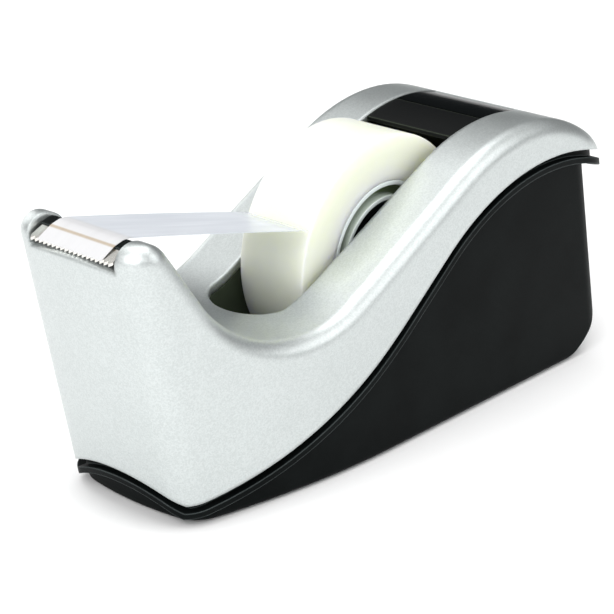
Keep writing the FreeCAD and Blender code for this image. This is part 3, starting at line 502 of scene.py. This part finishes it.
@dataclass(frozen=True)
class CoreResin:
    """Pale resin sleeves with the recessed web between them deep green: the resin's green tint
    darkened by painted shade.
    """

    axis_x: float
    axis_z: float
    name: str = "core_resin"
    pale: RGB = (0.70, 0.76, 0.75)
    # Deep green of the gap: the resin's tint darkened as painted shade in the recessed web.
    green_and_shade: RGB = (0.12, 0.18, 0.06)
    gap: Span = (14.05 * MM, 16.0 * MM)
    fade: float = 0.3 * MM
    cloud_scale: float = 240.0
    roughness: float = 0.30
    swing: float = 0.12
    relief: float = 0.04
    depth: float = 0.2 * MM

    def build(self) -> bpy.types.Material:
        """Build the material; the gap is found by the distance from the roll's axis.

        Returns:
            The material, closed with one Principled shader.
        """
        graph = Graph(self.name)
        radius = graph.distance(self.axis_x, self.axis_z)
        low, high = self.gap
        inside = radius.step(low - self.fade, low) * (1.0 - radius.step(high, high + self.fade))
        cloud = graph.noise(self.cloud_scale, 2.0)
        # The gap is painted deep green, partly the resin's tint and partly painted shade in the
        # recess.
        colour = graph.blend(inside * (0.8 + cloud * 0.2), self.pale, self.green_and_shade)
        return graph.finish(Base_Color=colour, Roughness=self.roughness + cloud * self.swing,
                            Normal=graph.bump(cloud, self.relief, self.depth))


@dataclass(frozen=True)
class ClearStrand:
    """Frosted tape: faint haze along it, whiter where it is pressed on the head, clear on the roll.

    The places head, seam and contact are along X: where the pressed part ends, where the line
    of glue rises and falls, and where the strand meets the roll.
    """

    name: str = "clear_strand"
    tint: RGB = (0.57, 0.61, 0.68)
    haze: RGB = (0.74, 0.77, 0.81)
    pressed: RGB = (0.66, 0.66, 0.67)
    glue: RGB = (0.42, 0.33, 0.22)
    head: Span = (-72.2 * MM, -70.0 * MM)
    seam_rise: Span = (-76.4 * MM, -76.0 * MM)
    seam_fall: Span = (-75.7 * MM, -75.3 * MM)
    contact: Span = (-26.0 * MM, -18.5 * MM)
    streak_scale: float = 420.0
    streak_stretch: Triple = (0.06, 1.0, 0.3)
    seam_strength: float = 0.8
    cleared: float = 0.70
    cover: float = 0.78
    cover_swing: float = 0.12
    roughness: float = 0.24
    swing: float = 0.16
    coat: float = 0.2
    relief: float = 0.05
    depth: float = 0.2 * MM

    def build(self) -> bpy.types.Material:
        """Build the material.

        Returns:
            The material, closed with one Principled shader.
        """
        graph = Graph(self.name)
        streaks = graph.noise(self.streak_scale, 3.0, graph.stretched(self.streak_stretch))
        x, _, _ = graph.axes()
        stuck = 1.0 - x.step(*self.head)
        seam = x.step(*self.seam_rise) * (1.0 - x.step(*self.seam_fall))
        free = graph.blend(streaks, self.tint, self.haze)
        colour = graph.blend(seam * self.seam_strength,
                             graph.blend(stuck, free, self.pressed), self.glue)
        alpha = ((1.0 - x.step(*self.contact) * self.cleared)
                 * (self.cover + streaks * self.cover_swing))
        return graph.finish(
            Base_Color=colour, Roughness=self.roughness + streaks * self.swing, Alpha=alpha,
            Coat_Weight=self.coat, Normal=graph.bump(streaks, self.relief, self.depth))


@dataclass(frozen=True)
class SoftRubber:
    """Matte rubber with a pebbled skin."""

    name: str = "pad_rubber"
    dark: RGB = (0.012, 0.012, 0.012)
    light: RGB = (0.032, 0.032, 0.032)
    pebble_scale: float = 1500.0
    cloud_scale: float = 150.0
    roughness: float = 0.72
    swing: float = 0.14
    relief: float = 0.25
    depth: float = 0.3 * MM

    def build(self) -> bpy.types.Material:
        """Build the material.

        Returns:
            The material, closed with one Principled shader.
        """
        graph = Graph(self.name)
        pebble = graph.cells(self.pebble_scale)
        cloud = graph.noise(self.cloud_scale, 3.0)
        return graph.finish(Base_Color=graph.blend(cloud, self.dark, self.light),
                            Roughness=self.roughness + pebble * self.swing,
                            Normal=graph.bump(pebble, self.relief, self.depth))


@dataclass(frozen=True)
class FloorPaper:
    """Plain pale paper with a faint unevenness."""

    name: str = "studio_floor"
    dark: RGB = (0.92, 0.92, 0.92)
    light: RGB = (0.94, 0.94, 0.94)
    fibre_scale: float = 30.0
    roughness: float = 0.75
    swing: float = 0.05

    def build(self) -> bpy.types.Material:
        """Build the material.

        Returns:
            The material, closed with one Principled shader.
        """
        graph = Graph(self.name)
        fibre = graph.noise(self.fibre_scale, 3.0)
        return graph.finish(Base_Color=graph.blend(fibre, self.dark, self.light),
                            Roughness=self.roughness + fibre * self.swing)


# ------------------------------------------------------------------------------ meshes
def quads(rows: int, columns: int, close_rows: bool = False,
          close_columns: bool = False) -> np.ndarray:
    """Return the faces of a grid of points kept row by row.

    Args:
        rows: number of rows of points.
        columns: number of points in a row.
        close_rows: join the last row to the first.
        close_columns: join the last column to the first.

    Returns:
        An array of four vertex numbers a face.
    """
    down = np.arange(rows if close_rows else rows - 1)[:, None]
    across = np.arange(columns if close_columns else columns - 1)[None, :]
    below, right = (down + 1) % rows, (across + 1) % columns
    corners = (down * columns + across, below * columns + across,
               below * columns + right, down * columns + right)
    shape = (down.size, across.size)
    return np.stack([np.broadcast_to(corner, shape) for corner in corners], axis=-1).reshape(-1, 4)


def add_mesh(name: str, points: np.ndarray, faces: np.ndarray) -> bpy.types.Object:
    """Make a smooth mesh object at the origin.

    Args:
        name: the object's name.
        points: one row of x, y, z for each vertex.
        faces: one row of four vertex numbers for each face.

    Returns:
        The object, with its faces pointing outwards.
    """
    mesh = bpy.data.meshes.new(name)
    mesh.vertices.add(len(points))
    mesh.vertices.foreach_set("co", np.ascontiguousarray(points, dtype=np.float32).ravel())
    mesh.loops.add(faces.size)
    mesh.loops.foreach_set("vertex_index", np.ascontiguousarray(faces, dtype=np.int32).ravel())
    mesh.polygons.add(len(faces))
    mesh.polygons.foreach_set("loop_start", np.arange(0, faces.size, 4, dtype=np.int32))
    mesh.update(calc_edges=True)
    mesh.validate()
    piece = bpy.data.objects.new(name, mesh)
    bpy.context.collection.objects.link(piece)
    settle(piece)
    return piece


def settle(piece: bpy.types.Object, angle: float = SMOOTH_ANGLE) -> None:
    """Merge doubles, point the faces outwards and shade the piece smooth.

    Args:
        piece: a mesh object.
        angle: edges sharper than this stay sharp, in degrees.
    """
    work = bmesh.new()
    work.from_mesh(piece.data)
    bmesh.ops.remove_doubles(work, verts=work.verts, dist=WELD)
    bmesh.ops.dissolve_degenerate(work, edges=work.edges, dist=SLIVER)
    bmesh.ops.recalc_face_normals(work, faces=work.faces)
    work.to_mesh(piece.data)
    work.free()
    piece.data.shade_smooth()
    piece.data.set_sharp_from_angle(angle=math.radians(angle))


def rounded_path(corners: list[Triple], steps: int = 5) -> np.ndarray:
    """Return a closed outline whose corners are rounded by quadratic curves.

    Each corner (a, b, r) is replaced by points (1-t)^2 P + 2t(1-t) C + t^2 Q, where P and Q lie
    r before and after the corner C, and t runs from 0 to 1.

    Args:
        corners: the two coordinates of each corner and how far its rounding reaches.
        steps: how many points stand for a corner.

    Returns:
        One row of two coordinates for each point of the outline.
    """
    points = np.array([corner[:2] for corner in corners], dtype=float)
    radii = np.array([corner[2] for corner in corners], dtype=float)[:, None]
    before = np.roll(points, 1, axis=0) - points
    after = np.roll(points, -1, axis=0) - points
    start = points + before / np.linalg.norm(before, axis=1, keepdims=True) * radii
    end = points + after / np.linalg.norm(after, axis=1, keepdims=True) * radii
    t = np.linspace(0.0, 1.0, steps)[None, :, None]
    curve = ((1 - t) ** 2 * start[:, None] + 2 * t * (1 - t) * points[:, None]
             + t ** 2 * end[:, None])
    return curve.reshape(-1, 2)


@dataclass
class Lathe:
    """Surfaces turned about the roll's axis, which runs along +Y."""

    axis_x: float
    axis_z: float
    turns: int = 192
    wave: float = 0.55 * MM

    def spin(self, name: str, corners: list[Triple], ripple: float = 0.0) -> bpy.types.Object:
        """Turn a closed outline of (radius r, place y along Y, rounding) into a ring.

        The point at angle a is (X + r cos a, y, Z + r sin a). A ripple first moves the outline
        outwards at both ends by ripple * sin(r / wave).

        Args:
            name: the piece's name.
            corners: the outline's corners with their rounding, in metres.
            ripple: height of the winding's unevenness on the ends.

        Returns:
            The piece.
        """
        outline = rounded_path(corners)
        if ripple:
            outline = self.subdivide(outline)
            outline[:, 1] += ripple * np.sin(outline[:, 0] / self.wave) * np.sign(outline[:, 1])
        angle = np.linspace(0.0, 2 * math.pi, self.turns, endpoint=False)[:, None]
        radius, along = outline[None, :, 0], outline[None, :, 1]
        points = np.stack([self.axis_x + radius * np.cos(angle), along + 0 * angle,
                           self.axis_z + radius * np.sin(angle)], axis=-1)
        return add_mesh(name, points.reshape(-1, 3), quads(self.turns, len(outline), True, True))

    @staticmethod
    def subdivide(outline: np.ndarray, pieces: int = 16) -> np.ndarray:
        """Cut each stretch of an outline that is longer than 1 mm into equal pieces.

        Args:
            outline: one row of two coordinates for each point.
            pieces: how many pieces a long stretch becomes.

        Returns:
            The finer outline.
        """
        parts = []
        for start, end in zip(outline, np.roll(outline, -1, axis=0)):
            count = pieces if np.linalg.norm(end - start) > MM else 1
            parts.append(start + (end - start) * np.linspace(0, 1, count, endpoint=False)[:, None])
        return np.concatenate(parts)


# ------------------------------------------------------------------------------ sub-assemblies
@dataclass
class Piece:
    """What one finished piece says about itself."""

    item: bpy.types.Object
    body: Body
    slot: str
    nodes: tuple[str, ...]

    def declare(self, *finishes: bpy.types.Material) -> None:
        """Give the piece its finishes, its body and the CAD nodes it stands for.

        Args:
            finishes: the materials in the order of the mesh's material numbers.
        """
        self.item.data.materials.clear()
        for finish in finishes:
            self.item.data.materials.append(finish)
        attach(self.item, self.body.value)
        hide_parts(*self.nodes)
        LOG.info("%s rides on %s, %d faces",
                 self.item.name, self.body.value, len(self.item.data.polygons))


def dress_nodes(nodes: tuple[str, ...], finish: bpy.types.Material) -> None:
    """Give some CAD nodes' own objects a finish.

    Args:
        nodes: the nodes' names.
        finish: the material that replaces what they have.
    """
    for node in nodes:
        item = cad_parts[node]
        item.data.materials.clear()
        item.data.materials.append(finish)
        LOG.info("%s keeps its CAD shape", node)


def welded_copy(node: str, name: str, angle: float = SMOOTH_ANGLE) -> bpy.types.Object:
    """Copy a CAD node's mesh, merge its triangles and even out its shading.

    Args:
        node: the CAD node.
        name: the copy's name.
        angle: edges sharper than this stay sharp, in degrees.

    Returns:
        The copy.
    """
    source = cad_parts[node]
    mesh = source.data.copy()
    mesh.name = name
    if mesh.has_custom_normals:
        mesh.attributes.remove(mesh.attributes["custom_normal"])
    piece = bpy.data.objects.new(name, mesh)
    bpy.context.collection.objects.link(piece)
    settle(piece, angle)
    weight = piece.modifiers.new("even_normals", "WEIGHTED_NORMAL")
    weight.keep_sharp = True
    weight.weight = 80
    return piece


@dataclass
class Housing:
    """The silver cover, the dark base, the well and everything fixed to them."""

    paint: SilverPaint = SilverPaint()
    base: MouldedPlastic = MouldedPlastic("base_plastic")
    # The well plastic's edges get a greenish painted highlight.
    inner: MouldedPlastic = MouldedPlastic(
        "well_plastic", colour=(0.048, 0.062, 0.040), lift=(0.075, 0.095, 0.062),
        roughness=0.40, specular=0.12, edge_highlight=(0.07, 0.085, 0.06), black_above=36 * MM)
    gloss: GlossPlastic = GlossPlastic("panel_gloss")
    plate: Metal = Metal("painted_plate", (0.05, 0.05, 0.05), (0.03, 0.03, 0.03), 0.5,
                         metallic=0.0)
    rubber: SoftRubber = SoftRubber()
    iron: Metal = Metal("cast_iron", (0.25, 0.25, 0.25), (0.14, 0.14, 0.14), 0.6, relief=0.3)
    zinc: Metal = Metal("zinc_steel", (0.62, 0.62, 0.60), (0.45, 0.45, 0.45), 0.32)
    opening_x: Span = (-38 * MM, 58 * MM)
    opening_half: float = 14.2 * MM
    opening_floor: float = 30 * MM
    upright: float = 0.6

    def build(self) -> None:
        """Build and dress the housing's pieces."""
        base = self.base.build()
        cover = welded_copy("top_cover", "top_cover_skin")
        self.shade_opening(cover)
        Piece(cover, Body.DISPENSER, "silver_cover", ("top_cover",)).declare(
            self.paint.build(), base)
        for node, slot, finish in (("base_shell", "dark_base", base),
                                   ("tape_well", "well_plastic", self.inner.build()),
                                   ("rear_panel", "gloss_panel", self.gloss.build())):
            Piece(welded_copy(node, node + "_skin"), Body.DISPENSER, slot, (node,)).declare(finish)
        for finish, nodes in ((self.plate, ("bottom_plate",)),
                              (self.rubber, ("front_pad", "rear_pad")),
                              (self.iron, ("front_ballast", "rear_ballast")),
                              (self.zinc, ("cover_screws", "deck_screws", "plate_screws"))):
            dress_nodes(nodes, finish.build())

    def shade_opening(self, cover: bpy.types.Object) -> None:
        """Give the upright walls of the roll opening the second finish in place of the paint.

        Args:
            cover: the cover, with the paint first and the plain plastic second.
        """
        polygons = cover.data.polygons
        centre, normal = np.empty(3 * len(polygons)), np.empty(3 * len(polygons))
        polygons.foreach_get("center", centre)
        polygons.foreach_get("normal", normal)
        x, y, z = centre.reshape(-1, 3).T
        wall = np.abs(normal.reshape(-1, 3)[:, 2]) < self.upright
        start, end = self.opening_x
        inside = (x > start) & (x < end) & (np.abs(y) < self.opening_half)
        inside &= z > self.opening_floor
        polygons.foreach_set("material_index", (wall & inside).astype(np.int32))


@dataclass
class CutterHead:
    """The blade, its carrier, the rivets and the landing bar."""

    steel: Metal = Metal("blade_steel", (0.82, 0.81, 0.77), (0.62, 0.61, 0.57), 0.20,
                         streak=(1.0, 0.05, 1.0), scale=1600.0)
    dark: MouldedPlastic = MouldedPlastic("head_plastic", roughness=0.5)

    def build(self) -> None:
        """Dress the head's pieces."""
        dress_nodes(("cutter_blade", "blade_rivets"), self.steel.build())
        dress_nodes(("blade_carrier", "landing_bar"), self.dark.build())


@dataclass
class TapeRoll:
    """The wound tape, its core and the hub, all turned about one axis."""

    radius: float = 28.25 * MM
    half: float = 9.5 * MM
    core: float = 17.3 * MM
    bore: float = 12.8 * MM
    skin: float = 1.1 * MM
    web: float = 1.2 * MM
    web_depth: float = 3.0 * MM
    edge: float = 0.25 * MM
    ripple: float = 0.02 * MM
    hub: MouldedPlastic = MouldedPlastic("hub_plastic", roughness=0.38)

    def axis(self) -> Span:
        """Return the X and Z of the roll's axis from the wound tape's own box."""
        low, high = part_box("tape_roll")
        return (low[0] + high[0]) / 2, (low[2] + high[2]) / 2

    def build(self) -> None:
        """Build and dress the tape, the core and the two hub halves."""
        axis = self.axis()
        lathe = Lathe(*axis)
        edge = self.edge
        tape = lathe.spin("tape_windings", [
            (self.core, -self.half, edge), (self.radius, -self.half, 2 * edge),
            (self.radius, self.half, 2 * edge), (self.core, self.half, edge)], self.ripple)
        Piece(tape, Body.ROLL, "wound_tape", ("tape_roll",)).declare(WoundTape(*axis).build())
        ring = lathe.spin("core_ring", [(*corner, edge) for corner in self.core_outline()])
        Piece(ring, Body.ROLL, "core_plastic", ("tape_core",)).declare(CoreResin(*axis).build())
        dark = self.hub.build()
        for node in ("hub_left", "hub_right"):
            turned = welded_copy(node, node + "_turned")
            Piece(turned, Body.ROLL, "hub_plastic", (node,)).declare(dark)

    def core_outline(self) -> list[Span]:
        """Work out the core's section, two sleeves joined by a web.

        Returns:
            The corners of the section as (radius, place along Y).
        """
        inner, outer = self.bore + self.skin, self.core - self.skin
        near = self.half - self.web_depth
        far = self.web - near
        return [(self.bore, -self.half), (inner, -self.half), (inner, -near), (outer, -near),
                (outer, -self.half), (self.core, -self.half), (self.core, self.half),
                (outer, self.half), (outer, far), (inner, far), (inner, self.half),
                (self.bore, self.half)]


@dataclass
class Strand:
    """The free end of the tape, a thin ribbon from the teeth to the roll."""

    half: float = 9.5 * MM
    thickness: float = 0.12 * MM
    along: int = 96
    across: int = 17
    cup: float = 0.18 * MM
    tip_drop: float = 1.6 * MM
    bar_drop: float = 0.50 * MM
    bar_slope: float = 2.3 * MM
    clearance: float = 0.10 * MM
    end_inset: float = 0.3 * MM
    end_rise: float = 0.25 * MM

    def build(self) -> None:
        """Build and dress the ribbon.

        Its knots are the teeth, the two ends of the bar's slope, the bar's back and the roll.
        """
        low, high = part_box("tape_tail")
        _, blade_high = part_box("cutter_blade")
        bar_low, bar_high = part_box("landing_bar")
        knots = np.array([
            (low[0], blade_high[2] - self.tip_drop),
            (bar_low[0], bar_high[2] - self.bar_drop),
            (bar_low[0] + self.bar_slope, bar_high[2] + self.clearance),
            (bar_high[0], bar_high[2] + self.clearance),
            (high[0] - self.end_inset, low[2] + self.end_rise)])
        points = self.ribbon(knots)
        top = points + np.array([0.0, 0.0, self.thickness])
        ring = np.concatenate([points, top[:, ::-1]], axis=1)
        faces = [quads(self.along, 2 * self.across, False, True)]
        index = np.arange(self.across - 1)
        last = 2 * self.across - 1
        for row in (0, self.along - 1):
            first = row * 2 * self.across
            faces.append(first + np.stack([index, index + 1, last - 1 - index, last - index],
                                          axis=-1))
        piece = add_mesh("tape_strand", ring.reshape(-1, 3), np.concatenate(faces))
        Piece(piece, Body.STRAND, "clear_tape", ("tape_tail",)).declare(ClearStrand().build())

    def ribbon(self, knots: np.ndarray) -> np.ndarray:
        """Carry a path of knots (x, z) across Y as the ribbon's lower face.

        The edges of the free span, from the fourth knot to the fifth, rise by
        cup * (y / half)^2 * sin(pi s), where s runs from 0 to 1 along the span.

        Args:
            knots: one row of x and z for each of the five knots.

        Returns:
            The points, as stations along the path by places across it by x, y, z.
        """
        lengths = np.concatenate([[0.0], np.cumsum(np.linalg.norm(np.diff(knots, axis=0), axis=1))])
        stations = np.linspace(0.0, lengths[-1], self.along)
        x, z = (np.interp(stations, lengths, knots[:, axis]) for axis in (0, 1))
        span = np.clip((stations - lengths[3]) / (lengths[4] - lengths[3]), 0.0, 1.0)
        y = np.linspace(-self.half, self.half, self.across)
        rise = self.cup * np.sin(math.pi * span)[:, None] * (y[None, :] / self.half) ** 2
        return np.stack([x[:, None] + 0 * y, y + 0 * x[:, None], z[:, None] + rise], axis=-1)


# ------------------------------------------------------------------------------ studio
@dataclass(frozen=True)
class SoftBox:
    """One square area light aimed at the object."""

    name: str
    place: Triple
    size: float
    power: float
    target: Triple = (0.0, 0.0, 30 * MM)

    def build(self) -> None:
        """Add the light."""
        data = bpy.data.lights.new(self.name, "AREA")
        data.shape = "SQUARE"
        data.size = self.size
        data.energy = self.power
        lamp = bpy.data.objects.new(self.name, data)
        bpy.context.collection.objects.link(lamp)
        aim(lamp, self.place, self.target)


def aim(item: bpy.types.Object, place: Triple, target: Triple) -> None:
    """Put a light or a camera at a place, looking at a target with +Z up in its view."""
    item.location = Vector(place)
    item.rotation_euler = (Vector(target) - Vector(place)).to_track_quat("-Z", "Y").to_euler()


@dataclass
class Studio:
    """Floor, surroundings, lights and the camera."""

    azimuth: float = -48.02
    elevation: float = 21.89
    distance: float = 457.5 * MM
    target: Triple = (-8.47 * MM, 0.0, 28.96 * MM)
    lens: float = 116.5
    sensor: float = 36.0
    nearest: float = 10 * MM
    floor_reach: float = 14.0
    floor_drop: float = 0.05 * MM
    bright_side: Triple = (-0.50, -0.30, 0.81)
    dusk: Span = (-0.15, 0.34)
    horizon: Span = (0.025, 0.06)
    dim: RGB = (0.05, 0.055, 0.06)
    bright: RGB = (1.0, 1.0, 1.0)
    pale: RGB = (0.9, 0.9, 0.9)
    ambient: float = 0.74
    boxes: tuple[SoftBox, ...] = (
        SoftBox("key_light", (-0.85, -0.30, 0.65), 0.7, 7.0),
        SoftBox("top_light", (0.05, 0.10, 1.10), 0.9, 5.6),
        SoftBox("side_light", (0.35, -0.78, 0.60), 0.75, 2.6),
        SoftBox("far_light", (0.10, 0.90, 0.35), 0.6, 2.0),
    )

    def build(self) -> None:
        """Build the studio."""
        self.add_floor()
        self.add_surroundings()
        for box in self.boxes:
            box.build()
        self.add_camera()

    def add_floor(self) -> None:
        """Lay the pale floor a hair under the pads."""
        reach = np.linspace(-self.floor_reach, self.floor_reach, 3)
        x, y = np.meshgrid(reach, reach, indexing="ij")
        points = np.stack([x, y, 0 * x - self.floor_drop], axis=-1)
        floor = add_mesh("studio_floor", points.reshape(-1, 3), quads(3, 3))
        if floor.data.polygons[0].normal.z < 0:
            floor.data.flip_normals()
        floor.data.materials.append(FloorPaper().build())

    def add_surroundings(self) -> None:
        """Set soft surroundings: bright above and in front, dim behind, pale at the horizon."""
        sky = SkyGraph("studio_surroundings")
        glow = sky.dot(sky.place, self.bright_side).step(*self.dusk)
        _, _, height = sky.axes()
        horizon = 1.0 - height.step(*self.horizon)
        colour = sky.blend(glow, self.dim, self.bright)
        sky.shine(sky.blend(horizon, colour, self.pale), self.ambient)

    def add_camera(self) -> None:
        """Add the camera on its azimuth and elevation round the target."""
        turn, lift = math.radians(self.azimuth), math.radians(self.elevation)
        back = np.array([math.sin(turn) * math.cos(lift), -math.cos(turn) * math.cos(lift),
                         math.sin(lift)])
        data = bpy.data.cameras.new("studio_camera")
        data.lens = self.lens
        data.sensor_width = self.sensor
        data.clip_start = self.nearest
        camera = bpy.data.objects.new("studio_camera", data)
        bpy.context.collection.objects.link(camera)
        place = np.array(self.target) + back * self.distance
        aim(camera, tuple(place), self.target)
        bpy.context.scene.camera = camera


def main() -> None:
    """Build every sub-assembly in order."""
    logging.basicConfig(level=logging.INFO, format="%(name)s: %(message)s")
    bpy.context.scene.view_settings.view_transform = "Standard"
    for assembly in (Studio(), Housing(), CutterHead(), TapeRoll(), Strand()):
        LOG.info("building %s", type(assembly).__name__)
        assembly.build()


if __name__ == "__main__":
    main()
